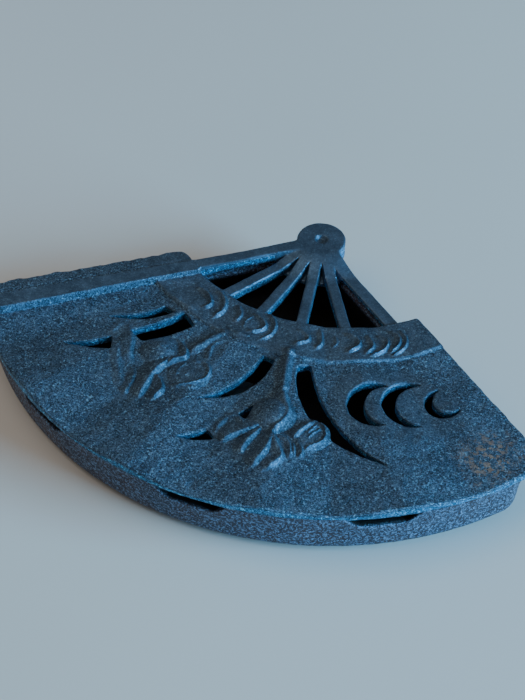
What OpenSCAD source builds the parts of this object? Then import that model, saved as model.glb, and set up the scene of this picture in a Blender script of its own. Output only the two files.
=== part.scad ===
// Folding-fan mosquito coil burner: a shallow cast-iron tray, a pierced cast-iron lid and a coil stand.
// Millimetres, +Z up. The origin is under the middle of the bounding box, on the table.
// The fan's own plan is drawn about its pivot, with the leaf opening towards -Y; fan angles are
// measured from -Y, positive towards +X.

/* [Fan] */
// Radius of the fan's outer arc
fan_r = 150; // [140:1:160]
// Angle from the middle of the fan to a guard stick
guard_angle = 53; // [51:0.5:55]
// Angle between neighbouring sticks
stick_pitch = 21.2; // [20:0.1:22]
// How far the leaf reaches sideways past a guard's line
leaf_side = 10.4; // [9:0.1:12]
// Radius of the leaf's inner edge, about its own centre
inner_r = 76; // [74:0.5:78]
// Height of that centre above the pivot
inner_up = 27; // [25:0.5:29]
// Width of the raised band of water along the inner edge
band_w = 18; // [14:0.5:20]
// Radius of the round boss at the pivot
boss_r = 10.7; // [10:0.1:11.5]

/* [Lid] */
// Thickness of the lid at a pleat's ridge
lid_t = 4.4; // [4:0.1:5]
// Depth of a pleat's valley at the outer arc
pleat_depth = 2; // [1:0.1:2.2]
// Width of an inner stick
stick_w = 4.8; // [4:0.1:5.4]
// Width of a guard stick
guard_w = 5.6; // [5:0.1:6]
// How far a guard's outer edge lies outside its line
guard_out = 2.3; // [2:0.1:2.6]
// Height of the boss
boss_h = 7.8; // [7:0.1:9]
// Height of the guard bar that lies on the left edge of the leaf
bar_h = 2.6; // [2:0.1:3]
// Height of the water band above the pleats
band_h = 0.8; // [0.5:0.1:1.2]
// Depth of the lugs that keep the lid in place
lug_h = 3; // [2:0.5:4]

/* [Tray] */
// Height of the tray's rim above the table
rim_z = 25; // [22:0.5:28]
// Height of the cast feet
foot_h = 2; // [1.5:0.5:3]
// Thickness of the wall and the floor
wall = 3.5; // [3:0.1:4]
// How far the tray's wall stands inside the lid's edge
tray_inset = 2; // [1.5:0.1:2.5]
// Radius of the tray's outer corners in plan
corner_r = 14; // [12:1:22]
// Height of an air notch in the rim
vent_h = 7; // [5:0.1:8]
// Angle that an air notch spans at the rim
vent_top = 14; // [11:0.5:15]
// Angle that it spans at its bottom
vent_bottom = 7.5; // [6:0.5:8]

/* [Coil stand] */
// Length of the bridge that carries the coil
stand_l = 30; // [26:1:34]
// Width of the bridge
stand_w = 10; // [8:0.5:12]
// Height of the bridge above the floor
stand_h = 6; // [5:0.5:7]
// Thickness of the sheet
sheet = 0.8; // [0.6:0.1:1.2]
// Height of the pointed tongue above the bridge
tongue_h = 6; // [5:0.5:7]

/* [Hidden] */
$fn = 96;

iron = [0.10, 0.13, 0.17];
iron_brown = [0.16, 0.13, 0.14];
steel = [0.55, 0.56, 0.58];

pivot_y = (fan_r - boss_r) / 2;     // puts the origin under the middle of the bounding box
far = 2 * fan_r;                    // longer than anything in the plan
overlap = 0.5;                      // how far pieces of one casting run into each other
blend = 0.05;                       // a corner's circle crosses its sides by this, so they meet cleanly
seat_gap = 0.2;                     // between two rough castings that rest on each other
lid_z = rim_z + seat_gap;
ridge_z = lid_z + lid_t;
floor_z = foot_h + wall;
edge_r = 4;                         // the underside's edge is rounded off in steps
edge_steps = 3;

valley_step = 22;                   // pleat valleys lie at multiples of this angle
ridge_step = valley_step / 2;
edge_ridge = 57;                    // the leaf's outer corners
stick_count = 4;
web_r = 22;                         // the hub that joins the sticks
web_t = 2.9;
coil_y = -77.6;                     // the middle of the coil, clear of the wall all round

// A point at a distance along a fan angle and a distance sideways from it, towards +X
function polar(angle, along, side = 0) = [along * sin(angle) + side * cos(angle),
                                          -along * cos(angle) + side * sin(angle)];

// Points of a smooth curve from a to b that leans towards c
function curve(a, c, b, steps = 8) =
    [for (i = [0:steps]) let (t = i / steps) (1 - t) * (1 - t) * a + 2 * t * (1 - t) * c + t * t * b];

// Turns x towards a fan angle
module along_angle(angle) { rotate([0, 0, angle - 90]) children(); }

// The wedge between two lines that lie a distance outside the guards' lines
module wedge(side) {
    polygon([[0, side / sin(guard_angle)], polar(guard_angle, far, side), polar(-guard_angle, far, -side)]);
}

// The circle about the leaf's inner centre
module inner_disc(r) { translate([0, inner_up]) circle(r, $fn = 180); }

// The leaf of the fan in plan, drawn in by a distance
module leaf(inset = 0) {
    difference() {
        intersection() {
            circle(fan_r - inset, $fn = 180);
            wedge(leaf_side - inset);
        }
        inner_disc(inner_r + inset);
    }
}

// What a rounded outer corner takes away, for the corner on the +X side
module corner_waste(inset) {
    r = fan_r - inset;
    side = leaf_side - inset;
    along = sqrt(pow(r - corner_r, 2) - pow(side - corner_r, 2));
    centre = polar(guard_angle, along, side - corner_r);
    outward = centre / norm(centre);
    difference() {
        polygon([centre, polar(guard_angle, along, side + corner_r), polar(guard_angle, far, far / 4),
                 centre + 2 * corner_r * outward]);
        translate(centre) circle(corner_r + blend);
    }
}

// The whole fan without piercings, drawn in by a distance
module fan(inset, rounded = false) {
    difference() {
        union() {
            leaf(inset);
            intersection() {
                wedge(guard_out - inset);
                circle(fan_r - inset, $fn = 180);
            }
            circle(boss_r - inset);
        }
        if (rounded) for (s = [0, 1]) mirror([s, 0]) corner_waste(inset);
    }
}

// --- lid -------------------------------------------------------------------------------------

// Everything above the plane that falls away to one side of a ridge line
module above_slope(ridge, valley, depth_angle) {
    turn = valley > ridge ? -depth_angle : depth_angle;
    translate([0, 0, ridge_z]) along_angle(ridge) rotate([turn, 0, 0])
        translate([-20, -fan_r, 0]) cube([fan_r + 40, 2 * fan_r, 12]);
}

// One pleat valley between two ridges, as the space above both slopes
module valley_cut(valley, left_ridge, right_ridge) {
    intersection() {
        above_slope(left_ridge, valley, atan(pleat_depth / (fan_r * sin(valley - left_ridge))));
        above_slope(right_ridge, valley, atan(pleat_depth / (fan_r * sin(right_ridge - valley))));
    }
}

module pleat_valleys() {
    for (i = [-2:2]) {
        valley = i * valley_step;
        valley_cut(valley, i == -2 ? -edge_ridge : valley - ridge_step,
                   i == 2 ? edge_ridge : valley + ridge_step);
    }
}

// A blade-shaped piercing with two curved sides that meet at a tip
module blade(a, lean_a, tip, lean_b, b) {
    polygon(concat(curve(a, lean_a, tip), curve(tip, lean_b, b)));
}

module crescent(outer, outer_r, inner, cut_r) {
    difference() {
        translate(outer) circle(outer_r);
        translate(inner) circle(cut_r);
    }
}

// The iris leaves and the eddies that are pierced through the leaf
module piercings() {
    blade([-48, -60], [-55, -70], [-68, -74], [-52, -73], [-42.5, -62]);
    polygon(concat(curve([-38.5, -61], [-45.5, -71], [-55.5, -79]), curve([-49, -83], [-39, -76], [-32, -66])));
    blade([-61.5, -84.5], [-68, -92], [-79, -95], [-68, -95.5], [-59, -92]);
    blade([0.8, -70.5], [-0.9, -91], [-15, -103.5], [8, -93.5], [6, -71.5]);
    blade([-5.5, -116.5], [-9, -121.5], [-15.5, -125], [-6, -124], [-1, -119.5]);
    polygon([[3, -104.5], [7, -106], [7.3, -97.5]]);
    difference() {
        blade([16, -71.5], [24, -106], [68, -108], [35.5, -98.5], [21, -68.5]);
        translate([34.5, -103.5]) circle(7.6);
    }
    crescent([53, -79], 11.8, [59, -77.5], 11);
    crescent([66, -73.5], 12, [70.5, -72], 11);
    crescent([78, -68], 7.5, [79.5, -65.5], 6.5);
}

// A low dome on the leaf: the cap of a ball, as wide and as high as asked, with a short upright skirt
module dome(at, r, h) {
    ball = (r * r + h * h) / (2 * h);
    intersection() {
        translate([at[0], at[1], ridge_z + h - ball]) sphere(ball);
        translate([at[0], at[1], lid_z + 1]) cylinder(h = lid_t + h, r = 0.97 * r);
    }
}

// A rounded ridge on the leaf through the given points, with a slightly fatter ball at each
module rib(points, r) {
    for (i = [0:len(points) - 1]) translate([points[i][0], points[i][1], ridge_z - 0.4]) {
        sphere(1.08 * r, $fn = 32);
        if (i > 0) {
            step = points[i - 1] - points[i];
            rotate([0, 90, atan2(step[1], step[0])]) cylinder(h = norm(step), r = r, $fn = 32);
        }
    }
}

module left_iris() {
    dome([-38, -85], 6.5, 2.4);
    dome([-51, -87], 5, 1.4);
    dome([-24, -91], 7, 1.4);
    dome([-43, -99], 5, 1.3);
    rib([[-22, -66], [-29, -80]], 1.6);
    rib([[-34, -89], [-37, -98], [-38, -108]], 1.6);
    rib([[-30, -99], [-30, -107]], 1.5);
}

module right_iris() {
    dome([14, -101], 7, 2.8);
    dome([4, -112], 5.5, 1.4);
    dome([34.5, -103.5], 7, 1.6);
    dome([20, -116], 6, 1.3);
    rib([[12, -68], [14, -80], [17, -94]], 2.2);
    rib([[15, -109], [12.5, -120]], 1.5);
    rib([[21, -109], [22, -118], [19, -127]], 1.5);
    rib([[24, -109], [29, -119], [24, -126]], 1.5);
}

module sticks() {
    for (i = [0:stick_count - 1]) {
        along_angle((i - (stick_count - 1) / 2) * stick_pitch)
            translate([0, -stick_w / 2]) square([inner_r - inner_up + 6, stick_w]);
    }
    for (s = [0, 1]) mirror([s, 0]) along_angle(guard_angle)
        translate([0, guard_out - guard_w]) square([inner_r - inner_up + 16, guard_w]);
}

// The left guard lies on top of the leaf and widens towards the outer arc
module guard_bar() {
    start = inner_r - inner_up - 3;     // just short of the leaf's inner edge
    side = guard_w - guard_out;
    widening = 6.3;
    intersection() {
        polygon([polar(-guard_angle, start, -guard_out), polar(-guard_angle, far, -guard_out),
                 polar(-guard_angle, far, side + widening), polar(-guard_angle, start, side)]);
        circle(fan_r - seat_gap, $fn = 180);
    }
}

// Short lugs under the lid that stand just inside the tray's wall
module lugs() {
    clear = tray_inset + wall + 0.7;
    lug_t = 3;
    lug_w = 14;
    for (angle = [-15, 15]) intersection() {
        difference() {
            circle(fan_r - clear, $fn = 180);
            circle(fan_r - clear - lug_t);
        }
        along_angle(angle) translate([0, -lug_w / 2]) square([fan_r, lug_w]);
    }
    for (s = [0, 1]) mirror([s, 0]) along_angle(guard_angle)
        translate([fan_r / 2 - lug_w / 2, leaf_side - clear - lug_t]) square([lug_w, lug_t]);
}

module fan_lid() {
    dimple_r = 4;
    color(iron) translate([0, pivot_y, 0]) {
        difference() {
            union() {
                difference() {
                    translate([0, 0, lid_z]) linear_extrude(lid_t) leaf();
                    pleat_valleys();
                }
                difference() {
                    translate([0, 0, lid_z + 1]) linear_extrude(lid_t - 1 + band_h) intersection() {
                        leaf();
                        inner_disc(inner_r + band_w);
                    }
                    translate([0, 0, band_h]) pleat_valleys();
                }
            }
            translate([0, 0, lid_z - 1]) linear_extrude(lid_t + 4) piercings();
        }
        translate([0, 0, lid_z]) linear_extrude(lid_t) sticks();
        translate([0, 0, lid_z]) linear_extrude(web_t) intersection() {
            circle(web_r);
            wedge(guard_out - 1);
        }
        difference() {
            translate([0, 0, lid_z]) cylinder(h = boss_h, r = boss_r);
            translate([0, 0, lid_z + boss_h + dimple_r - 1.1]) sphere(dimple_r);
        }
        translate([0, 0, lid_z + 1]) linear_extrude(lid_t - 1 + bar_h) guard_bar();
        translate([0, 0, lid_z - lug_h]) linear_extrude(lug_h + 1) lugs();
        left_iris();
        right_iris();
    }
}

// --- tray ------------------------------------------------------------------------------------

// A notch through the rim, wider at the top than at the bottom
module vent() {
    top = fan_r * sin(vent_top / 2);
    bottom = fan_r * sin(vent_bottom / 2);
    above = top + 2 * (top - bottom) / vent_h;
    depth = 20;
    translate([fan_r - depth / 2, 0, rim_z]) rotate([90, 0, 90]) linear_extrude(depth)
        polygon([[-above, 2], [-bottom, -vent_h], [bottom, -vent_h], [above, 2]]);
}

module tray() {
    foot_r = 6;
    fillet = 2;
    vent_step = 30;
    color(iron_brown) translate([0, pivot_y, 0]) {
        difference() {
            for (i = [0:edge_steps]) {
                turn = 90 * i / edge_steps;
                bottom = foot_h + edge_r * (1 - sin(turn));
                translate([0, 0, bottom]) linear_extrude(i == 0 ? rim_z - bottom : edge_r)
                    fan(tray_inset + edge_r * (1 - cos(turn)), rounded = true);
            }
            translate([0, 0, floor_z + fillet]) linear_extrude(rim_z)
                fan(tray_inset + wall, rounded = true);
            translate([0, 0, floor_z]) linear_extrude(rim_z)
                fan(tray_inset + wall + fillet, rounded = true);
            for (i = [-1:1]) along_angle(i * vent_step) vent();
        }
        for (at = [[0, -20], [-92, -88], [92, -88]])
            translate([at[0], at[1], 0]) cylinder(h = foot_h + overlap, r = foot_r);
    }
}

// --- coil stand ------------------------------------------------------------------------------

// A strip of sheet steel: two turned-out feet, two legs, a bridge and a pointed tongue turned up
// from it, on which the middle of the coil is pressed
module coil_stand() {
    foot = 6;
    tongue_w = 3.6;
    gap = 0.05;
    color(steel) translate([0, pivot_y + coil_y, floor_z + gap]) {
        translate([-stand_l / 2, -stand_w / 2, stand_h - sheet]) cube([stand_l, stand_w, sheet]);
        for (s = [0, 1]) mirror([s, 0, 0]) {
            translate([stand_l / 2 - sheet, -stand_w / 2, 0]) cube([sheet, stand_w, stand_h]);
            translate([stand_l / 2 - sheet, -stand_w / 2, 0]) cube([foot, stand_w, sheet]);
        }
        translate([0, sheet / 2, stand_h]) rotate([90, 0, 0]) linear_extrude(sheet)
            polygon([[-tongue_w / 2, -overlap], [tongue_w / 2, -overlap], [tongue_w / 2, tongue_h / 2], [0, tongue_h],
                     [-tongue_w / 2, tongue_h / 2]]);
    }
}

tray();
fan_lid();
coil_stand();
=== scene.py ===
import math

import bpy
import numpy as np
from mathutils import Matrix, Vector
from mathutils.geometry import delaunay_2d_cdt


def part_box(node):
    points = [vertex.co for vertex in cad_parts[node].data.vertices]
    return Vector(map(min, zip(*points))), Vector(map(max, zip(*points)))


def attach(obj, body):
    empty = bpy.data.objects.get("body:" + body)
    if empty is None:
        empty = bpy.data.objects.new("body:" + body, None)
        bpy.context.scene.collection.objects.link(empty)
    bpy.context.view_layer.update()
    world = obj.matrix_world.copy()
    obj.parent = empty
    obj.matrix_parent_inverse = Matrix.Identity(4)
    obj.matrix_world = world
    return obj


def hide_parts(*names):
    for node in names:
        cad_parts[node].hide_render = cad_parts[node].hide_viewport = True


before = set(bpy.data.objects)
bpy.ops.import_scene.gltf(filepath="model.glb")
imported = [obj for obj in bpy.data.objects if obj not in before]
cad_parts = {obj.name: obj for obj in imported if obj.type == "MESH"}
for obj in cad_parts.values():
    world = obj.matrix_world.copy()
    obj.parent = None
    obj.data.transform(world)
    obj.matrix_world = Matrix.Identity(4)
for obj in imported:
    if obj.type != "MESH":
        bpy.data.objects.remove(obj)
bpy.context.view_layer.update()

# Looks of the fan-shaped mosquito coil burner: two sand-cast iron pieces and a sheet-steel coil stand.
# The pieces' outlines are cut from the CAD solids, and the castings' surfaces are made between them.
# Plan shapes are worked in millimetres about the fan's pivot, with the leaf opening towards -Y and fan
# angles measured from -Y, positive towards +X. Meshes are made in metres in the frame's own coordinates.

MM = 0.001

# --- how close the points of the meshes are, in millimetres ------------------------------------
DETAIL = 0.5
LID_SPACING = 0.85
TRAY_SPACING = 2.5
SHORTEST_SIDE = 0.15

# --- the fan, in millimetres about its pivot ---------------------------------------------------
LID_LOW, LID_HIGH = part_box("fan_lid")
TRAY_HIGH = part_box("tray")[1]
BOSS_R = 10.7
PIVOT_Y = LID_HIGH.y / MM - BOSS_R
FAN_R = PIVOT_Y - LID_LOW.y / MM
RIM_Z = TRAY_HIGH.z / MM
SEAT_GAP = 0.2
LID_Z = RIM_Z + SEAT_GAP
LID_T = 4.4
RIDGE_Z = LID_Z + LID_T
FOOT_H = 2.0
WALL = 3.5
FLOOR_Z = FOOT_H + WALL
GUARD_ANGLE = math.radians(53)
INNER_UP = 27.0
INNER_R = 76.0
INNER_LEFT_CORNER = (-54.0, -33.0)
BAND_R = INNER_R + 18.0
GUARD_OUT = 2.3


# --- smooth steps and noise --------------------------------------------------------------------
def smooth(value, start, end):
    """0 before start, 1 after end, and a smooth rise between them."""
    t = np.clip((value - start) / (end - start), 0, 1)
    return t * t * (3 - 2 * t)


def lattice(ix, iy, seed):
    """A repeatable random number from -1 to 1 for each whole-number place."""
    h = (ix * 374761393 + iy * 668265263 + seed * 974634777) & 0xFFFFFFFF
    h = ((h ^ (h >> 13)) * 1274126177) & 0xFFFFFFFF
    return ((h ^ (h >> 16)) & 0xFFFF) / 32767.5 - 1


def noise(x, y, size, seed):
    """Smooth noise from -1 to 1, whose bumps are about as wide as size."""
    u, v = x / size, y / size
    ix, iy = np.floor(u).astype(np.int64), np.floor(v).astype(np.int64)
    fx, fy = u - ix, v - iy
    fx, fy = fx * fx * (3 - 2 * fx), fy * fy * (3 - 2 * fy)
    low = lattice(ix, iy, seed) * (1 - fx) + lattice(ix + 1, iy, seed) * fx
    high = lattice(ix, iy + 1, seed) * (1 - fx) + lattice(ix + 1, iy + 1, seed) * fx
    return low * (1 - fy) + high * fy


# --- plan outlines -----------------------------------------------------------------------------
def section_loops(node, z):
    """The closed outlines in which a CAD node is cut by the level z, in plan millimetres."""
    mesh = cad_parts[node].data
    co = np.array([v.co for v in mesh.vertices]) / MM
    mesh.calc_loop_triangles()
    tris = np.array([t.vertices for t in mesh.loop_triangles])
    over = co[tris][:, :, 2] > z
    links = {}
    for tri, up in zip(tris, over):
        if up.all() or not up.any():
            continue
        ends = []
        for a, b in ((0, 1), (1, 2), (2, 0)):
            if up[a] != up[b]:
                p, q = sorted((co[tri[a]].tolist(), co[tri[b]].tolist()))
                t = (z - p[2]) / (q[2] - p[2])
                cut_x, cut_y = p[0] + t * (q[0] - p[0]), p[1] + t * (q[1] - p[1])
                ends.append((round(cut_x, 3), round(cut_y - PIVOT_Y, 3)))
        if ends[0] != ends[1]:
            links.setdefault(ends[0], set()).add(ends[1])
            links.setdefault(ends[1], set()).add(ends[0])
    loops = []
    while links:
        here = start = min(links)
        loop = [start]
        while True:
            following = links[here]
            after = min(following)
            following.discard(after)
            links[after].discard(here)
            if not following:
                links.pop(here)
            if not links.get(after):
                links.pop(after, None)
                break
            loop.append(after)
            here = after
        if len(loop) > 2:
            loops.append(np.array(loop))
    return loops


def area(loop):
    x, y = loop[:, 0], loop[:, 1]
    return 0.5 * float(np.sum(x * np.roll(y, -1) - y * np.roll(x, -1)))


def respaced(loop, step):
    """The same outline, with its corners kept and points about step apart between them."""
    out = []
    for a, b in zip(loop, np.roll(loop, -1, axis=0)):
        n = max(1, round(float(np.hypot(*(b - a))) / step))
        out += [a + (b - a) * i / n for i in range(n)]
    return np.array(out)


def tidied(loop, shortest):
    """The outline without its very short sides."""
    keep = [loop[0]]
    for p in loop[1:]:
        if np.hypot(*(p - keep[-1])) > shortest:
            keep.append(p)
    if np.hypot(*(keep[-1] - keep[0])) < shortest:
        keep.pop()
    return np.array(keep)


def inward(loop):
    """Unit vectors that point from each point of an outline into the material."""
    edge = np.roll(loop, -1, axis=0) - loop
    edge /= np.hypot(edge[:, 0], edge[:, 1])[:, None]
    both = edge + np.roll(edge, 1, axis=0)
    both /= np.maximum(np.hypot(both[:, 0], both[:, 1]), 1e-6)[:, None]
    return np.stack([-both[:, 1], both[:, 0]], 1)


def softened(loop, times, where=1.0):
    """The outline with its corners worn round."""
    for _ in range(times):
        middle = (np.roll(loop, 1, axis=0) + np.roll(loop, -1, axis=0)) / 2
        loop = loop + (middle - loop) * 0.5 * where
    return loop


def oriented(loops):
    """Outlines turned so that the material is on their left: the outer one first, then the holes."""
    loops = sorted(loops, key=lambda l: -abs(area(l)))
    return [l if (area(l) > 0) == (i == 0) else l[::-1] for i, l in enumerate(loops)]


def distance(x, y, loops, reach):
    """Distance from each point to the nearest outline, where that is less than reach."""
    best = np.full(x.shape, reach)
    for loop in loops:
        for a, b in zip(loop, np.roll(loop, -1, axis=0)):
            low, high = np.minimum(a, b) - reach, np.maximum(a, b) + reach
            near = np.flatnonzero((x > low[0]) & (x < high[0]) & (y > low[1]) & (y < high[1]))
            if len(near) == 0:
                continue
            px, py = x[near] - a[0], y[near] - a[1]
            ex, ey = b - a
            t = np.clip((px * ex + py * ey) / max(ex * ex + ey * ey, 1e-12), 0, 1)
            best[near] = np.minimum(best[near], np.hypot(px - t * ex, py - t * ey))
    return best


def inside(x, y, loops):
    """True where a point is inside the outer outline and outside the holes."""
    odd = np.zeros(x.shape, bool)
    for loop in loops:
        for (ax, ay), (bx, by) in zip(loop, np.roll(loop, -1, axis=0)):
            if ay == by:
                continue
            rows = np.flatnonzero((ay > y) != (by > y))
            cross = ax + (y[rows] - ay) * (bx - ax) / (by - ay)
            odd[rows] ^= x[rows] < cross
    return odd


# --- cast surfaces -----------------------------------------------------------------------------
def sheet_points(loops, spacing, rows, detailed=None):
    """Points and triangles that fill the outlines. rows are distances from the edge at which rows of
    points follow it. Where detailed says so, the points between are closer. Returns the points, with
    those of the outlines first, the triangles and the outlines as point numbers."""
    edge = np.concatenate(loops)
    starts = np.cumsum([0] + [len(l) for l in loops])
    rings = [np.arange(s, s + len(l)) for s, l in zip(starts, loops)]
    points = [edge]
    for row in rows:
        for loop in loops:
            ring = loop + inward(loop) * row
            away = distance(ring[:, 0], ring[:, 1], loops, row * 1.5)
            points.append(ring[(away > 0.93 * row) & inside(ring[:, 0], ring[:, 1], loops)])
    low, high = edge.min(0), edge.max(0)
    for step, wanted in ((spacing, False), (DETAIL, True)):
        if wanted and detailed is None:
            continue
        across, down = np.arange(low[0], high[0], step), np.arange(low[1], high[1], step * math.sqrt(0.75))
        gx, gy = np.meshgrid(across, down)
        gx = gx + step / 2 * (np.arange(gx.shape[0]) % 2)[:, None]
        gx, gy = gx.ravel(), gy.ravel()
        clear = max(rows) + 0.55 * step
        keep = inside(gx, gy, loops)
        if detailed is not None:
            keep &= detailed(gx, gy) == wanted
        gx, gy = gx[keep], gy[keep]
        keep = distance(gx, gy, loops, clear * 1.2) > clear
        points.append(np.stack([gx[keep], gy[keep]], 1))
    points = np.concatenate(points)
    sides = [(int(a), int(b)) for ring in rings for a, b in zip(ring, np.roll(ring, -1))]
    made, _, faces, origin, _, _ = delaunay_2d_cdt([Vector(p) for p in points], sides, [], 0, 1e-6)
    where = np.full(len(made), -1)
    for i, sources in enumerate(origin):
        if sources:
            where[i] = sources[0]
    tris = where[np.array(faces)]
    tris = tris[(tris >= 0).all(1)]
    middle = points[tris].mean(1)
    tris = tris[inside(middle[:, 0], middle[:, 1], loops)]
    a, b, c = (points[tris[:, i]] for i in range(3))
    turn = (b - a)[:, 0] * (c - a)[:, 1] - (b - a)[:, 1] * (c - a)[:, 0]
    tris[turn < 0] = tris[turn < 0][:, ::-1]
    return points, tris, rings


class Casting:
    """Collects the vertices and faces of one piece, in plan millimetres with z from the table. Each vertex
    also has a number for its sand and painted light: 1 for rough sand and less for a smoother skin, 0 for a
    skin that the tray's material paints near-black as painted shade, 2 for the lid's sides, which the lid's
    material paints brighter and bluer as a painted highlight."""

    def __init__(self, sand_and_painted_light):
        self.sand_and_painted_light = sand_and_painted_light
        self.points, self.faces, self.sand_and_painted_light_lists = [], [], []
        self.count = 0

    def add(self, points, sand_and_painted_light=None):
        start = self.count
        self.points.append(np.asarray(points, float))
        self.sand_and_painted_light_lists.append(np.full(len(points), self.sand_and_painted_light) if sand_and_painted_light is None else sand_and_painted_light)
        self.count += len(points)
        return start

    def sheet(self, plan, tris, z, down=False, sand_and_painted_light=None):
        start = self.add(np.column_stack([plan, z]), sand_and_painted_light)
        self.faces += ((tris[:, ::-1] if down else tris) + start).tolist()
        return start

    def wall(self, upper, lower, rows, shape=None):
        """A wall from one closed row of vertex numbers down to another, through rows between them."""
        points = np.concatenate(self.points)
        top, bottom = points[upper], points[lower]
        levels = [upper]
        for k in range(1, rows):
            t = k / rows
            row = top * (1 - t) + bottom * t
            levels.append(self.add(shape(row, t) if shape else row) + np.arange(len(upper)))
        levels.append(lower)
        for a, b in zip(levels, levels[1:]):
            a2, b2 = np.roll(a, -1), np.roll(b, -1)
            self.faces += np.stack([a, b, b2, a2], 1).tolist()

    def object(self, name):
        co = np.concatenate(self.points) + [0, PIVOT_Y, 0]
        mesh = bpy.data.meshes.new(name)
        mesh.from_pydata((co * MM).tolist(), [], self.faces)
        mesh.update()
        sand_and_painted_light = mesh.attributes.new("sand_and_painted_light", "FLOAT", "POINT")
        sand_and_painted_light.data.foreach_set("value", np.concatenate(self.sand_and_painted_light_lists))
        piece = bpy.data.objects.new(name, mesh)
        bpy.context.scene.collection.objects.link(piece)
        return piece


# --- the lid's relief --------------------------------------------------------------------------
def polar(angle, along, side=0.0):
    """A point at a distance along a fan angle, and a distance sideways from it towards +X."""
    return np.array([along * math.sin(angle) + side * math.cos(angle),
                     -along * math.cos(angle) + side * math.sin(angle)])


def lateral(x, y, angle):
    """How far points lie sideways from the line at a fan angle, towards +X."""
    return x * math.cos(angle) + y * math.sin(angle)


PLEAT_DEPTH = 2.6
PLEAT_STEP = math.radians(22)
EDGE_RIDGE = math.radians(57)
STICK_PITCH = 21.2


def pleats(x, y):
    """Depth of the pleats below their ridges, deepest in the creases at the outer arc."""
    r = np.hypot(x, y)
    angle = np.arctan2(x, -y)
    valley = np.clip(np.round(angle / PLEAT_STEP), -2, 2) * PLEAT_STEP
    outer = np.abs(angle) > 2 * PLEAT_STEP
    width = np.where(outer, EDGE_RIDGE - 2 * PLEAT_STEP, PLEAT_STEP / 2)
    slope = 1 - np.abs(np.sin(angle - valley)) / np.sin(width)
    soft = 0.07
    slope = np.where(slope > soft, slope, soft * np.exp((slope - soft) / soft))
    return PLEAT_DEPTH * r / FAN_R * slope


def smooth_curve(points, step=0.8):
    """A smooth curve through a few points, as points about step apart."""
    p = np.array([points[0], *points, points[-1]], float)
    out = []
    for a, b, c, d in zip(p, p[1:], p[2:], p[3:]):
        n = max(2, int(np.hypot(*(c - b)) / step))
        for i in range(n):
            t = i / n
            out.append(0.5 * (2 * b + (c - a) * t + (2 * a - 5 * b + 4 * c - d) * t * t
                              + (3 * b - a - 3 * c + d) * t ** 3))
    out.append(p[-1])
    return np.array(out)


def along_line(x, y, line):
    """For each point: distance to the line, which side of it (+ is left), and how far along, 0 to 1."""
    best, side, along = np.full(x.shape, 1e9), np.zeros(x.shape), np.zeros(x.shape)
    lengths = np.hypot(*np.diff(line, axis=0).T)
    total, done = lengths.sum(), 0.0
    for a, b, length in zip(line, line[1:], lengths):
        ex, ey = b - a
        px, py = x - a[0], y - a[1]
        t = np.clip((px * ex + py * ey) / (length * length), 0, 1)
        d = np.hypot(px - t * ex, py - t * ey)
        near = d < best
        best = np.where(near, d, best)
        side = np.where(near, np.sign(ex * py - ey * px), side)
        along = np.where(near, (done + t * length) / total, along)
        done += length
    return best, side, along


class Relief:
    """Height added to the lid's top at its points."""

    def __init__(self, x, y):
        self.x, self.y = x, y
        self.height = np.zeros(x.shape)
        self.smoothness = np.zeros(x.shape)

    def rows(self, low, high, margin):
        return np.flatnonzero((self.x > low[0] - margin) & (self.x < high[0] + margin)
                              & (self.y > low[1] - margin) & (self.y < high[1] + margin))

    def fold(self, points, height, left, right, taper=0.25, start=0.5):
        """A raised fold along a line, with a flank of its own width on each side."""
        line = smooth_curve(points)
        rows = self.rows(line.min(0), line.max(0), max(left, right))
        d, side, t = along_line(self.x[rows], self.y[rows], line)
        width = np.where(side > 0, left, right)
        ends = np.minimum(start + (1 - start) * smooth(t, 0, taper), 1 - smooth(t, 1 - taper, 1.05))
        u = np.clip(d / (width * (0.55 + 0.45 * ends)), 0, 1)
        fall = 1 - np.sqrt((u * u + 0.02) / 1.02)
        shape = 0.5 * fall / 0.86 + 0.5 * (1 - u * u) ** 2
        self.blend(rows, height * ends * shape, u)

    def dome(self, at, size, height, turn=0.0, flat=1.0):
        """A low dome with an oval foot."""
        size = np.array(size, float)
        rows = self.rows(np.array(at), np.array(at), size.max() * 1.1)
        c, s = math.cos(math.radians(turn)), math.sin(math.radians(turn))
        px, py = self.x[rows] - at[0], self.y[rows] - at[1]
        u = np.hypot((px * c + py * s) / size[0], (py * c - px * s) / size[1])
        self.blend(rows, height * np.clip(1 - u * u, 0, 1) ** flat, u)

    def blend(self, rows, height, u):
        """Adds a height, rounding the groove where it meets what is there."""
        soft = 0.25
        old = self.height[rows]
        high, low = np.maximum(old, height), np.minimum(old, height)
        mix = np.clip(1 - (high - low) / soft, 0, 1)
        self.height[rows] = np.where(height > 0.005, high + 0.25 * soft * mix * mix * (low > 0.02), old)
        cover = np.clip(1.3 - u, 0, 1)
        self.smoothness[rows] = np.maximum(self.smoothness[rows], np.clip(cover * 1.6, 0, 1))


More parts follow.
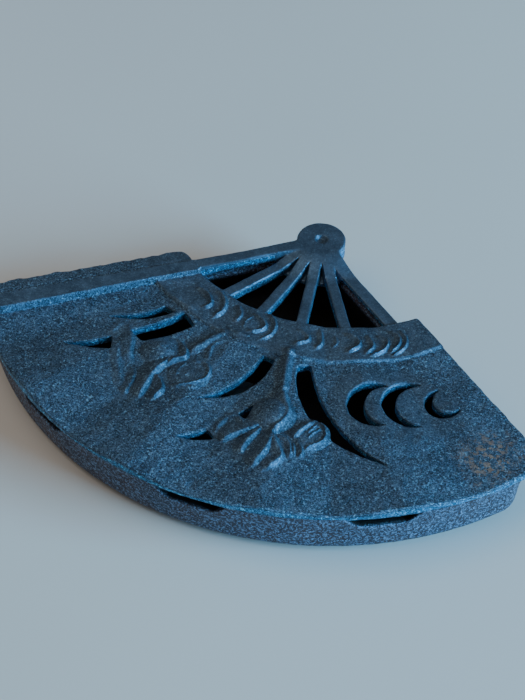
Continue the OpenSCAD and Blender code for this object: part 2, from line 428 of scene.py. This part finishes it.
def left_iris(r):
    """A flower seen from the side: a bulb, petals hanging to its left and below, a ruffled one beside it."""
    r.fold([(-19, -66), (-21.5, -69.5), (-25.8, -77), (-28.4, -82)], 1.6, 3.3, 2.6)
    r.fold([(-17, -69), (-20.5, -75), (-19, -83)], 0.7, 1.3, 2.2)
    r.dome((-38.5, -85), (9.5, 8.0), 2.9, turn=38, flat=1.0)
    r.fold([(-33.6, -77.5), (-29.5, -81.5), (-28.2, -85.5), (-31.5, -88), (-34.9, -92.5)],
           2.7, 1.6, 4.0, start=0.5)
    r.fold([(-34.5, -90), (-36.4, -94), (-37.2, -99), (-37.4, -104), (-37.4, -108), (-37.8, -112)],
           2.5, 1.8, 7.0, taper=0.18, start=0.9)
    r.fold([(-35, -98.5), (-31.7, -101.8), (-30.2, -105.8), (-32.2, -111)],
           1.9, 1.4, 3.6, taper=0.15, start=0.9)
    r.fold([(-55.6, -79), (-52.6, -85), (-50.8, -91), (-47.2, -96)], 1.2, 1.8, 6.0, taper=0.3, start=0.4)
    r.fold([(-57, -88), (-54.5, -95), (-50, -103), (-45.5, -111)], 0.7, 2.5, 3.4, taper=0.25)
    r.fold([(-44.5, -100), (-43.6, -105), (-43.9, -112)], 1.3, 1.3, 4.2, taper=0.2)
    r.fold([(-62, -76.5), (-62.5, -83)], 0.4, 1.6, 1.6)
    r.dome((-23.5, -92), (9.6, 8.6), 1.0, turn=-52, flat=0.3)
    r.fold([(-25.8, -87.4), (-21, -85), (-18.4, -85.6), (-16, -88.6), (-15.6, -92.6),
            (-17.4, -95.6), (-20.2, -98.2), (-27, -101.6)], 1.6, 1.2, 2.0, taper=0.12, start=0.3)
    r.fold([(-26, -86.6), (-28, -92), (-27.6, -97.4)], 1.3, 1.3, 2.6)
    r.fold([(-22.4, -89), (-23.4, -92.5), (-25.4, -96)], 1.2, 1.1, 1.8)
    r.fold([(-18.6, -88), (-19.4, -91), (-21, -94)], 1.1, 1.0, 1.6)


def right_iris(r):
    """A flower seen from the front: a thick stalk that swells into a bulb over a spread of petals."""
    r.fold([(10.5, -66), (12.2, -74), (14.2, -82), (16.6, -90)], 1.7, 2.8, 3.0, taper=0.2, start=0.8)
    r.dome((16.6, -100.6), (9.6, 9.4), 3.3, flat=0.8)
    r.fold([(16, -88), (19.4, -93.5), (22.4, -98), (22, -104), (19.4, -110)],
           2.9, 2.1, 5.0, taper=0.12, start=0.6)
    r.fold([(12, -109.8), (9, -112.6), (5.4, -116), (1.8, -120.6)], 2.0, 1.6, 7.5, taper=0.2, start=0.9)
    r.fold([(-1.4, -107), (3.4, -106.2), (7, -108.8), (10.4, -110.4)], 1.1, 2.1, 1.0, taper=0.2)
    r.fold([(-0.6, -108), (-2.2, -113), (-0.8, -118)], 0.8, 2.0, 1.8)
    r.fold([(14.2, -111.4), (12.6, -115.6), (11.8, -119.6), (11.9, -124)],
           1.9, 1.5, 4.6, taper=0.25, start=0.9)
    r.fold([(20.3, -111), (20.8, -116), (20.3, -121.5), (18.5, -129)], 2.2, 1.6, 6.0, taper=0.2, start=0.9)
    r.fold([(20.8, -111), (23.2, -113.8), (26, -116.9), (27.7, -120), (26.9, -123.8), (24.3, -128.2)],
           2.0, 1.3, 4.4, taper=0.15, start=0.9)
    r.fold([(23.5, -110), (27, -111), (28.8, -113.2), (31.2, -119)], 1.3, 1.1, 1.8)
    r.fold([(29, -110.6), (30.4, -113), (32.2, -117.2)], 1.1, 1.0, 1.3)
    r.fold([(30, -109.6), (33, -112.2), (34.5, -115), (33.2, -117.4)], 1.4, 1.2, 1.8)
    r.dome((35.2, -104.4), (6.8, 8.4), 1.5, turn=-22, flat=0.4)
    r.fold([(33.2, -98), (30.6, -103.6), (28.4, -109.4)], 2.5, 2.0, 3.4, taper=0.2)
    r.fold([(35.2, -98.4), (34.2, -102), (32.6, -106)], 2.1, 1.0, 1.6)
    r.fold([(37.6, -99.6), (35.4, -103.6), (33.6, -108)], 2.1, 1.0, 1.6)
    r.fold([(36, -97), (38.8, -99.6), (40.2, -103), (39.8, -106.6), (37.4, -109.6), (34.8, -112.8)],
           2.3, 1.1, 1.8, taper=0.15)


def water(r):
    """Eddies in the band along the leaf's inner edge: raised arcs that open to the left."""
    arcs = (
        (1.3, 1.0, 1.7, [(-38, -45.8), (-34, -47.8), (-31.2, -50.5), (-30, -52.8), (-30.4, -55.1),
                         (-33, -56.6)]),
        (0.5, 0.5, 0.7, [(-46, -54.6), (-40, -57.4), (-33.6, -59)]),
        (0.4, 0.5, 0.7, [(-47, -57), (-41, -59.6), (-35, -61.2)]),
        (1.3, 1.1, 2.2, [(-28.6, -45.4), (-25.4, -48.6), (-24, -52.2), (-24.2, -56), (-26.2, -59.6)]),
        (0.9, 0.9, 2.0, [(-18.4, -49.6), (-16.4, -52.6), (-15.6, -55.6), (-16.8, -58.8)]),
        (1.3, 1.0, 1.5, [(-9.6, -52), (-6, -53.8), (-4, -56), (-4.2, -58.5), (-6.6, -61), (-10, -62.2)]),
        (0.4, 0.6, 0.7, [(-10.6, -53.6), (-12.6, -57), (-12, -60.8)]),
        (1.1, 1.0, 1.4, [(-4, -49.8), (-0.7, -53.2), (0.2, -57.4), (-0.7, -61.4), (-3.8, -64.4)]),
        (0.6, 0.7, 0.7, [(-17, -63.6), (-12, -64.6), (-8, -64.4)]),
        (1.0, 1.0, 1.5, [(11, -53.4), (14.8, -54.8), (15.4, -57.6), (13.2, -59.8), (11, -61.6)]),
        (1.1, 0.9, 2.2, [(18.8, -50.4), (20.4, -54), (21.2, -57), (20, -60.2)]),
        (0.5, 0.8, 1.2, [(25.4, -51), (27, -54), (26, -57)]),
        (1.4, 1.0, 2.0, [(30, -47.6), (34, -48.6), (36, -50.4), (36, -53.6), (32.8, -57.6)]),
        (1.3, 1.0, 1.7, [(38.4, -45.6), (41.4, -49), (41.6, -52.2), (40, -55.2)]),
        (1.4, 1.0, 1.5, [(42.4, -43.4), (45.6, -44), (46.8, -46), (46.7, -49.4), (45, -53), (42, -55.4)]),
        (1.3, 0.9, 1.4, [(46, -39.2), (49.2, -40.2), (51, -42.9), (51, -46.4), (49.4, -50.6)]),
        (0.9, 0.9, 1.4, [(50, -37.8), (53, -40.6), (53.9, -44.5), (53, -48), (50.6, -51.8)]),
    )
    for height, outside, inner, points in arcs:
        r.fold(points, height, outside, inner, taper=0.15, start=0.75)


def lid_top(x, y, loops):
    """Height of the lid's top above its underside, and its grain."""
    r = np.hypot(x, y)
    rho = np.hypot(x, y - INNER_UP)
    left_side = -lateral(x, y, -GUARD_ANGLE)
    on_leaf = smooth(rho, INNER_R - 0.3, INNER_R + 0.2)
    in_band = smooth(rho + 0.5 * noise(x, y, 14, 5), BAND_R + 1.6, BAND_R + 0.6) * on_leaf
    relief = Relief(x, y)
    water(relief)
    relief.height *= smooth(rho, BAND_R + 1, BAND_R - 1) * on_leaf
    left_iris(relief)
    right_iris(relief)
    whirl = smooth(np.hypot((x - 60) / 26, (y + 77) / 19.5), 1.12, 0.85)
    calm = np.maximum(np.maximum(relief.smoothness * 0.3, in_band * 0.6), 0.45 * whirl)
    bumps = (0.22 * noise(x, y, 17, 1) + 0.16 * noise(x, y, 7, 2)
             + 0.12 * noise(x, y, 2.8, 3) + 0.09 * noise(x, y, 1.4, 4)) * (1 - 0.8 * calm)
    leaf = LID_T - pleats(x, y) + 1.1 * in_band + 0.3 * whirl * (1 - in_band) + relief.height + bumps
    sticks = LID_T - 0.1 + 0.03 * noise(x, y, 4, 6)
    on_guard = smooth(left_side, -4.4, -3.2) * smooth(left_side, GUARD_OUT + 0.9, GUARD_OUT - 0.4)
    away = np.abs((np.degrees(np.arctan2(x, -y)) / STICK_PITCH) % 1 - 0.5) * STICK_PITCH
    between = r * np.radians(away) - 2.4
    guards = np.maximum(left_side, lateral(x, y, GUARD_ANGLE))
    web = smooth(between, -0.1, 0.8) * smooth(r, 12.5, 18) * smooth(r, 26, 22) * smooth(guards, -3.4, -4.6)
    rise = 3.4 * smooth(r, 25, 9)
    guard_rise = 2.5 + 0.9 * smooth(r, 42, 8)
    sticks = sticks + (rise * (1 - on_guard) + guard_rise * on_guard) * (1 - 0.6 * web) - 2.7 * web
    sticks = sticks - 1.5 * smooth(r, 3.0, 1.5)
    top = sticks * (1 - on_leaf) + leaf * on_leaf
    strip = smooth(left_side, GUARD_OUT - 0.4, GUARD_OUT + 0.5) * on_leaf
    strip_top = LID_T + 1.5 + 0.7 * bumps + 0.5 * smooth(left_side, 10, 4)
    strip_top = strip_top - 1.6 * smooth(r, 58, 52)
    inner_line = -(3.8 + 0.021 * (r - 50)) + 0.25 * noise(x, y, 4, 8) + 0.12 * noise(x, y, 1.6, 10)
    bar = smooth(left_side, inner_line - 0.75, inner_line + 0.2) * on_leaf
    bar_top = LID_T + 2.4 + 0.05 * noise(x, y, 5, 7)
    top = top * (1 - bar) + (bar_top * (1 - strip) + strip_top * strip) * bar
    edge = 0.75 + 0.2 * noise(x, y, 3, 9)
    d = np.minimum(distance(x, y, loops, 1.2), edge)
    top = top - (edge - np.sqrt(np.clip(edge ** 2 - (edge - d) ** 2, 0, None))) * 0.9
    sand_and_painted_light = 1 - 0.75 * np.maximum(calm, 1 - on_leaf)
    sand_and_painted_light = np.where(bar * (1 - strip) > 0.9, 0.3, sand_and_painted_light)
    sand_and_painted_light = np.where((bar > 0.02) & (bar < 0.95), 1.0, sand_and_painted_light)
    return top, sand_and_painted_light


def lid_loops():
    """The lid's outlines, with the small wobble of a casting and the rough left side of the leaf."""
    loops = [respaced(tidied(l, SHORTEST_SIDE), 0.75) for l in section_loops("fan_lid", LID_Z + 1.5)]
    out = []
    corner = np.array(INNER_LEFT_CORNER)
    for loop in oriented(loops):
        loop = softened(loop, 3)
        near = np.hypot(*(loop - corner).T) < 7
        loop = softened(loop, 40, near[:, None])
        x, y = loop.T
        on_leaf = np.hypot(x, y - INNER_UP) > INNER_R + 1
        wobble = np.where(on_leaf, 0.16, 0.07) * noise(x, y, 2.2, 11) + 0.10 * noise(x, y, 9, 12) * on_leaf
        left_edge = smooth(-lateral(x, y, -GUARD_ANGLE), 9.5, 10.2) * on_leaf
        wobble = wobble + left_edge * (0.35 + 0.55 * noise(x, y, 4.5, 13) + 0.35 * noise(x, y, 1.8, 14))
        out.append(loop + inward(loop) * wobble[:, None])
    return out


LUGS = [(polar(math.radians(a), 142.3), math.radians(a) - math.pi / 2, (3, 14)) for a in (-15, 15)]
LUGS += [(polar(s * GUARD_ANGLE, 75, s * 2.7), s * GUARD_ANGLE - math.pi / 2, (14, 3)) for s in (-1, 1)]


def detailed(x, y):
    """Where the lid's relief is fine enough to need close points."""
    rho = np.hypot(x, y - INNER_UP)
    band = (rho < BAND_R + 2) & (rho > INNER_R)
    hub = np.hypot(x, y) < 26
    left = np.hypot((x + 39) / 26, (y + 91) / 24) < 1
    right = np.hypot((x - 19) / 25, (y + 103) / 28) < 1
    step = -lateral(x, y, -GUARD_ANGLE) + 3.9 + 0.021 * (np.hypot(x, y) - 50)
    return band | hub | left | right | (np.abs(step) < 1.3)


def lid(spacing):
    loops = lid_loops()
    casting = Casting(1.0)
    plan, tris, rings = sheet_points(loops, spacing, (0.22, 0.55, 0.95), detailed)
    x, y = plan.T
    top, sand_and_painted_light = lid_top(x, y, loops)
    casting.sheet(plan, tris, LID_Z + top, sand_and_painted_light=sand_and_painted_light)
    low_plan, low_tris, low_rings = sheet_points(loops, 3.0, (1.0,))
    x, y = low_plan.T
    side = np.maximum(-lateral(x, y, -GUARD_ANGLE), lateral(x, y, GUARD_ANGLE))
    hollow = smooth(side, -1.0, -2.6) * smooth(side, -5.0, -3.6) * smooth(np.hypot(x, y), 75, 35)
    hollow = hollow * smooth(np.hypot(x, y), 10, 13)
    under = LID_Z + 0.12 + 0.12 * noise(x, y, 5, 21) + 2.6 * hollow
    start = casting.sheet(low_plan, low_tris, under, down=True)

    def rough(row, t):
        u = row[:, 0] + 0.6 * row[:, 1]
        push = 0.16 * noise(u, row[:, 2] * 1.5 + 7 * t, 1.3, 22) * 4 * t * (1 - t)
        out = row.copy()
        out[:, 0] += push
        out[:, 1] -= push
        return out

    # The lid's cut sides and lugs get value 2, which the material paints brighter and bluer: a painted
    # highlight of the window light.
    casting.sand_and_painted_light = 2.0
    for ring, low_ring in zip(rings, low_rings):
        casting.wall(ring, low_ring + start, 4, rough)
    for at, turn, size in LUGS:
        block(casting, (at[0], at[1], LID_Z - 1.4), turn, (size[0], size[1], 3.2), 0.6)
    return casting.object("lid_casting")


def block(casting, at, turn, size, bevel):
    """A closed block with its corners cut back, turned about z."""
    sx, sy, sz = (s / 2 for s in size)
    rim = [(sx - bevel, sy), (sx, sy - bevel)]
    plan = list(rim)
    plan += [(px, -py) for px, py in rim[::-1]]
    plan += [(-px, -py) for px, py in rim]
    plan += [(-px, py) for px, py in rim[::-1]]
    plan = np.array(plan)[::-1]
    c, s = math.cos(turn), math.sin(turn)
    rings = []
    for z, inset in ((-sz, bevel), (-sz + bevel, 0), (sz, 0)):
        px, py = (plan * (1 - inset / min(sx, sy))).T
        ring = np.stack([at[0] + px * c - py * s, at[1] + px * s + py * c, np.full(len(px), at[2] + z)], 1)
        rings.append(casting.add(ring) + np.arange(len(plan)))
    for low, high in zip(rings, rings[1:]):
        a, b = np.roll(low, -1), np.roll(high, -1)
        casting.faces += np.stack([low, a, b, high], 1).tolist()
    casting.faces.append(rings[0].tolist()[::-1])
    casting.faces.append(rings[-1].tolist())


# --- the tray ----------------------------------------------------------------------------------
VENT_H, VENT_TOP, VENT_BOTTOM = 7.0, 18.3, 9.8
DRAFT = 1.5
EDGE_R = 4.0
TRAY_CUT_Z = 15.0
VENT_ANGLES = (-30, 0, 30)
FEET = ((0, -20), (-92, -88), (92, -88))
FOOT_R = 6.0


def tray_rim(x, y):
    """Height of the rim, lowered where the air notches cut it."""
    z = RIM_Z - 0.05 + 0.10 * noise(x, y, 4, 31)
    for a in VENT_ANGLES:
        t = math.radians(a)
        side = np.abs(lateral(x, y, t))
        ahead = x * math.sin(t) - y * math.cos(t) > 100
        cut = VENT_H * np.clip((VENT_TOP - side) / (VENT_TOP - VENT_BOTTOM), 0, 1) * ahead
        z = z - smooth(cut, 0, VENT_H) * VENT_H * 0.35 - cut * 0.65
    return z


def tray(spacing):
    outlines = [respaced(tidied(l, SHORTEST_SIDE), 1.0) for l in section_loops("tray", TRAY_CUT_Z)]
    outer, inner = oriented(outlines)
    casting = Casting(1.0)
    plan, tris, rings = sheet_points([outer, inner], 1.0, (0.3, 0.8))
    d = np.minimum(distance(plan[:, 0], plan[:, 1], [outer, inner], 1.0), 0.7)
    z = tray_rim(plan[:, 0], plan[:, 1]) - (0.7 - np.sqrt(0.49 - (0.7 - d) ** 2)) * 0.8
    # The rim's lowered ledges at the air notches, away from the outer edge, get value 0, so they are painted
    # near-black as shade from the lid.
    behind = smooth(distance(plan[:, 0], plan[:, 1], [outer], 2.0), 0.5, 1.2)
    painted_vent_shade = behind * smooth(z, RIM_Z - 1, RIM_Z - 2)
    casting.sheet(plan, tris, z, sand_and_painted_light=1 - painted_vent_shade)
    floor_loop = inner[::-1]
    floor_plan, floor_tris, floor_rings = sheet_points([floor_loop], spacing, (0.5, 1.2, 2.2, 3.6))
    d = np.minimum(distance(floor_plan[:, 0], floor_plan[:, 1], [floor_loop], 4.2), 4.0)
    z = FLOOR_Z + 4 - np.sqrt(16 - (4 - d) ** 2)
    floor_x, floor_y = floor_plan.T
    z = z + 0.12 * noise(floor_x, floor_y, 6, 32) + 0.06 * noise(floor_x, floor_y, 2, 33)
    # The tray's floor gets value 0, which the material paints near-black: painted shade under the lid.
    floor_start = casting.sheet(floor_plan, floor_tris, z, sand_and_painted_light=np.zeros(len(z)))
    low_loop = outer + inward(outer) * DRAFT
    low_plan, low_tris, low_rings = sheet_points([low_loop], spacing, (0.3, 0.9, 1.8, 3.0, 4.4))
    d = np.minimum(distance(low_plan[:, 0], low_plan[:, 1], [low_loop], EDGE_R * 1.1), EDGE_R)
    z = FOOT_H + EDGE_R - np.sqrt(EDGE_R ** 2 - (EDGE_R - d) ** 2)
    z = z + 0.08 * noise(low_plan[:, 0], low_plan[:, 1], 3, 34)
    low_start = casting.sheet(low_plan, low_tris, z, down=True)

    def rough(row, t):
        x, y = row[:, 0], row[:, 1]
        out = row.copy()
        push = 0.16 * noise(x + 0.7 * y, row[:, 2], 2.4, 35) + 0.14 * noise(x - y, row[:, 2] + 9, 1.3, 36)
        push = push * min(1, 6 * t * (1 - t))
        normal = np.stack([x, y + 40], 1)
        normal /= np.hypot(normal[:, 0], normal[:, 1])[:, None]
        out[:, :2] += normal * push[:, None]
        return out

    casting.wall(rings[0], low_rings[0] + low_start, 18, rough)
    # The inner wall gets value 0 too, so it is painted near-black as shade.
    casting.sand_and_painted_light = 0.0
    casting.wall(rings[1], floor_rings[0][::-1] + floor_start, 8, rough)
    casting.sand_and_painted_light = 1.0
    for at in FEET:
        foot(casting, at, FOOT_R, FOOT_H)
    return casting.object("tray_casting")


def foot(casting, at, radius, height):
    """A low round foot that runs up into the floor."""
    steps = np.linspace(0, 2 * math.pi, 40, endpoint=False)
    rings = []
    for r, z in ((radius - 0.7, 0.0), (radius - 0.2, 0.2), (radius, 0.8), (radius + 0.1, height + 1.2)):
        ring = np.stack([at[0] + r * np.cos(steps), at[1] + r * np.sin(steps), np.full(40, z)], 1)
        rings.append(casting.add(ring) + np.arange(40))
    for low, high in zip(rings, rings[1:]):
        a, b = np.roll(low, -1), np.roll(high, -1)
        casting.faces += np.stack([low, a, b, high], 1).tolist()
    casting.faces.append(rings[0].tolist()[::-1])
    casting.faces.append(rings[-1].tolist())


# --- materials ---------------------------------------------------------------------------------
class Nodes:
    """A short way to build a material's node tree."""

    def __init__(self, name):
        self.material = bpy.data.materials.new(name)
        self.material.use_nodes = True
        self.tree = self.material.node_tree
        self.tree.nodes.clear()
        self.place = self.new("ShaderNodeTexCoord").outputs["Object"]

    def new(self, kind, **values):
        node = self.tree.nodes.new(kind)
        for key, value in values.items():
            if key in node.inputs:
                self.give(node.inputs[key], value)
            else:
                setattr(node, key, value)
        return node

    def give(self, socket, value):
        if isinstance(value, bpy.types.NodeSocket):
            self.tree.links.new(value, socket)
        else:
            socket.default_value = value

    def noise(self, scale, detail=2.0, rough=0.5):
        node = self.new("ShaderNodeTexNoise", Vector=self.place, Scale=scale, Detail=detail, Roughness=rough)
        return node.outputs["Fac"]

    def ramp(self, value, *stops):
        node = self.new("ShaderNodeValToRGB")
        elements = node.color_ramp.elements
        while len(elements) < len(stops):
            elements.new(0.5)
        for element, (position, colour) in zip(elements, stops):
            element.position = position
            element.color = (*colour, 1) if isinstance(colour, tuple) else (colour, colour, colour, 1)
        self.give(node.inputs["Fac"], value)
        return node.outputs["Color"]

    def mix(self, factor, a, b, how="MIX"):
        node = self.new("ShaderNodeMix", data_type="RGBA", blend_type=how)
        self.give(node.inputs[0], factor)
        self.give(node.inputs[6], a if isinstance(a, bpy.types.NodeSocket) else (*a, 1))
        self.give(node.inputs[7], b if isinstance(b, bpy.types.NodeSocket) else (*b, 1))
        return node.outputs[2]

    def maths(self, how, a, b=0.0):
        node = self.new("ShaderNodeMath", operation=how)
        self.give(node.inputs[0], a)
        self.give(node.inputs[1], b)
        return node.outputs[0]

    def attribute(self, name):
        return self.new("ShaderNodeAttribute", attribute_name=name).outputs["Fac"]

    def near(self, place):
        node = self.new("ShaderNodeVectorMath", operation="DISTANCE")
        self.give(node.inputs[0], self.place)
        node.inputs[1].default_value = place
        return node.outputs["Value"]

    def finish(self, colour, roughness, heights, metallic=0.0, specular=0.5):
        normal = None
        for height, strength, depth in heights:
            bump = self.new("ShaderNodeBump", Strength=strength, Distance=depth, Height=height)
            if normal is not None:
                self.give(bump.inputs["Normal"], normal)
            normal = bump.outputs["Normal"]
        shader = self.new("ShaderNodeBsdfPrincipled", Metallic=metallic)
        self.give(shader.inputs["Base Color"], colour)
        self.give(shader.inputs["Roughness"], roughness)
        self.give(shader.inputs["Normal"], normal)
        shader.inputs["Specular IOR Level"].default_value = specular
        out = self.new("ShaderNodeOutputMaterial")
        self.tree.links.new(shader.outputs[0], out.inputs["Surface"])
        return self.material


RUST_AT = (0.104, -0.0185, 0.028)


def lid_iron():
    n = Nodes("blackened_cast_iron")
    sand_and_painted_light = n.attribute("sand_and_painted_light")
    sides = n.maths("SUBTRACT", sand_and_painted_light, 1.0)
    sand = n.noise(1500, 3, 0.7)
    pits = n.noise(3200, 2, 0.6)
    patches = n.noise(120, 5, 0.75)
    base = n.ramp(patches, (0.38, (0.052, 0.090, 0.140)), (0.64, (0.094, 0.158, 0.240)))
    speck = n.ramp(sand, (0.40, 0.25), (0.64, 1.45))
    speck = n.mix(sand_and_painted_light, (1.0, 1.0, 1.0), speck)
    colour = n.mix(1.0, base, speck, "MULTIPLY")
    sparkle = n.ramp(n.noise(950, 4, 0.8), (0.56, 0.0), (0.62, 1.0))
    colour = n.mix(n.maths("MULTIPLY", sparkle, sand_and_painted_light), colour, (0.22, 0.40, 0.54))
    edge = n.maths("MULTIPLY", n.noise(260, 4, 0.7), 0.03)
    rust = n.ramp(n.maths("ADD", n.near(RUST_AT), edge), (0.020, 1.0), (0.030, 0.0))
    rust = n.maths("MULTIPLY", rust, n.ramp(n.noise(420, 3, 0.7), (0.50, 0.0), (0.57, 0.8)))
    colour = n.mix(rust, colour, (0.34, 0.24, 0.17))
    # Where the value is 2, on the cut sides, the colour is lifted and made bluer: a painted highlight, as if
    # lit by the window.
    colour = n.mix(sides, colour, n.mix(1.0, colour, (1.0, 1.8, 2.1), "MULTIPLY"))
    rough = n.maths("MINIMUM", sand_and_painted_light, 1.0)
    relief = n.maths("MULTIPLY", n.maths("ADD", sand, n.maths("MULTIPLY", pits, 0.35)), rough)
    return n.finish(colour, n.ramp(sand, (0.3, 0.56), (0.7, 0.42)), [(relief, 1.0, 0.0005)], metallic=0.8)


def tray_iron():
    n = Nodes("brown_cast_iron")
    sand = n.noise(1000, 4, 0.75)
    patches = n.noise(55, 3, 0.65)
    brown = n.ramp(patches, (0.35, (0.068, 0.046, 0.050)), (0.65, (0.045, 0.048, 0.070)))
    colour = n.mix(n.ramp(sand, (0.49, 0.0), (0.60, 1.0)), brown, (0.19, 0.30, 0.46))
    # Where the value is 0 the colour is near-black: painted shade inside the tray and on the notch ledges.
    colour = n.mix(n.attribute("sand_and_painted_light"), (0.010, 0.009, 0.009), colour)
    return n.finish(colour, n.ramp(sand, (0.3, 0.6), (0.7, 0.46)), [(sand, 1.0, 0.0008)], metallic=0.55)


def stand_steel():
    n = Nodes("dull_sheet_steel")
    stain = n.noise(220, 4, 0.6)
    colour = n.ramp(stain, (0.3, (0.30, 0.29, 0.28)), (0.7, (0.48, 0.48, 0.49)))
    return n.finish(colour, n.ramp(stain, (0.3, 0.5), (0.7, 0.35)), [(stain, 0.1, 0.0002)], metallic=0.9)


def floor_paint():
    n = Nodes("pale_floor")
    colour = n.ramp(n.noise(3), (0.3, (0.62, 0.60, 0.57)), (0.7, (0.66, 0.64, 0.61)))
    return n.finish(colour, 0.8, [(n.noise(60), 0.02, 0.001)], specular=0.2)


def shade_smooth(piece, angle=38):
    piece.data.polygons.foreach_set("use_smooth", [True] * len(piece.data.polygons))
    piece.data.set_sharp_from_angle(angle=math.radians(angle))


# --- camera and light --------------------------------------------------------------------------
def place_camera():
    turn, rise, roll = math.radians(20.32), math.radians(46.59), math.radians(1.68)
    away, target = 0.7897, Vector((-0.32 * MM, (PIVOT_Y - 69.02) * MM, RIDGE_Z * MM))
    back = Vector((math.sin(turn) * math.cos(rise), -math.cos(turn) * math.cos(rise), math.sin(rise)))
    data = bpy.data.cameras.new("camera")
    data.lens, data.sensor_width = 97.95, 36
    data.clip_start, data.clip_end = 0.05, 20
    camera = bpy.data.objects.new("camera", data)
    facing = (-back).to_track_quat("-Z", "Y").to_matrix().to_4x4()
    camera.matrix_world = Matrix.Translation(target + back * away) @ facing @ Matrix.Rotation(roll, 4, "Z")
    bpy.context.scene.collection.objects.link(camera)
    bpy.context.scene.camera = camera


def area_light(name, at, size, power, colour):
    data = bpy.data.lights.new(name, "AREA")
    data.shape, data.size, data.energy, data.color = "SQUARE", size, power, colour
    light = bpy.data.objects.new(name, data)
    light.location = at
    light.rotation_euler = (-Vector(at)).to_track_quat("-Z", "Y").to_euler()
    bpy.context.scene.collection.objects.link(light)


def light_scene():
    area_light("window", (2.12, 0.0, 0.58), 1.3, 165, (0.22, 0.62, 1.0))
    area_light("room", (-0.6, -0.3, 1.8), 1.4, 10, (1.0, 0.90, 0.80))
    world = bpy.data.worlds.new("studio")
    world.use_nodes = True
    background = world.node_tree.nodes["Background"]
    background.inputs["Color"].default_value = (1.0, 0.93, 0.86, 1)
    background.inputs["Strength"].default_value = 0.20
    bpy.context.scene.world = world


def floor():
    mesh = bpy.data.meshes.new("floor")
    reach = 3.0
    mesh.from_pydata([(-reach, -reach, 0), (reach, -reach, 0), (reach, reach, 0), (-reach, reach, 0)], [],
                     [(0, 1, 2, 3)])
    piece = bpy.data.objects.new("floor", mesh)
    piece.data.materials.append(floor_paint())
    bpy.context.scene.collection.objects.link(piece)


place_camera()
light_scene()
floor()

lid_piece = lid(LID_SPACING)
shade_smooth(lid_piece)
lid_piece.data.materials.append(lid_iron())
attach(lid_piece, "lid")
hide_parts("fan_lid")

tray_piece = tray(TRAY_SPACING)
shade_smooth(tray_piece)
tray_piece.data.materials.append(tray_iron())
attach(tray_piece, "tray")
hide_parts("tray")

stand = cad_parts["coil_stand"]
stand.data.materials.clear()
stand.data.materials.append(stand_steel())
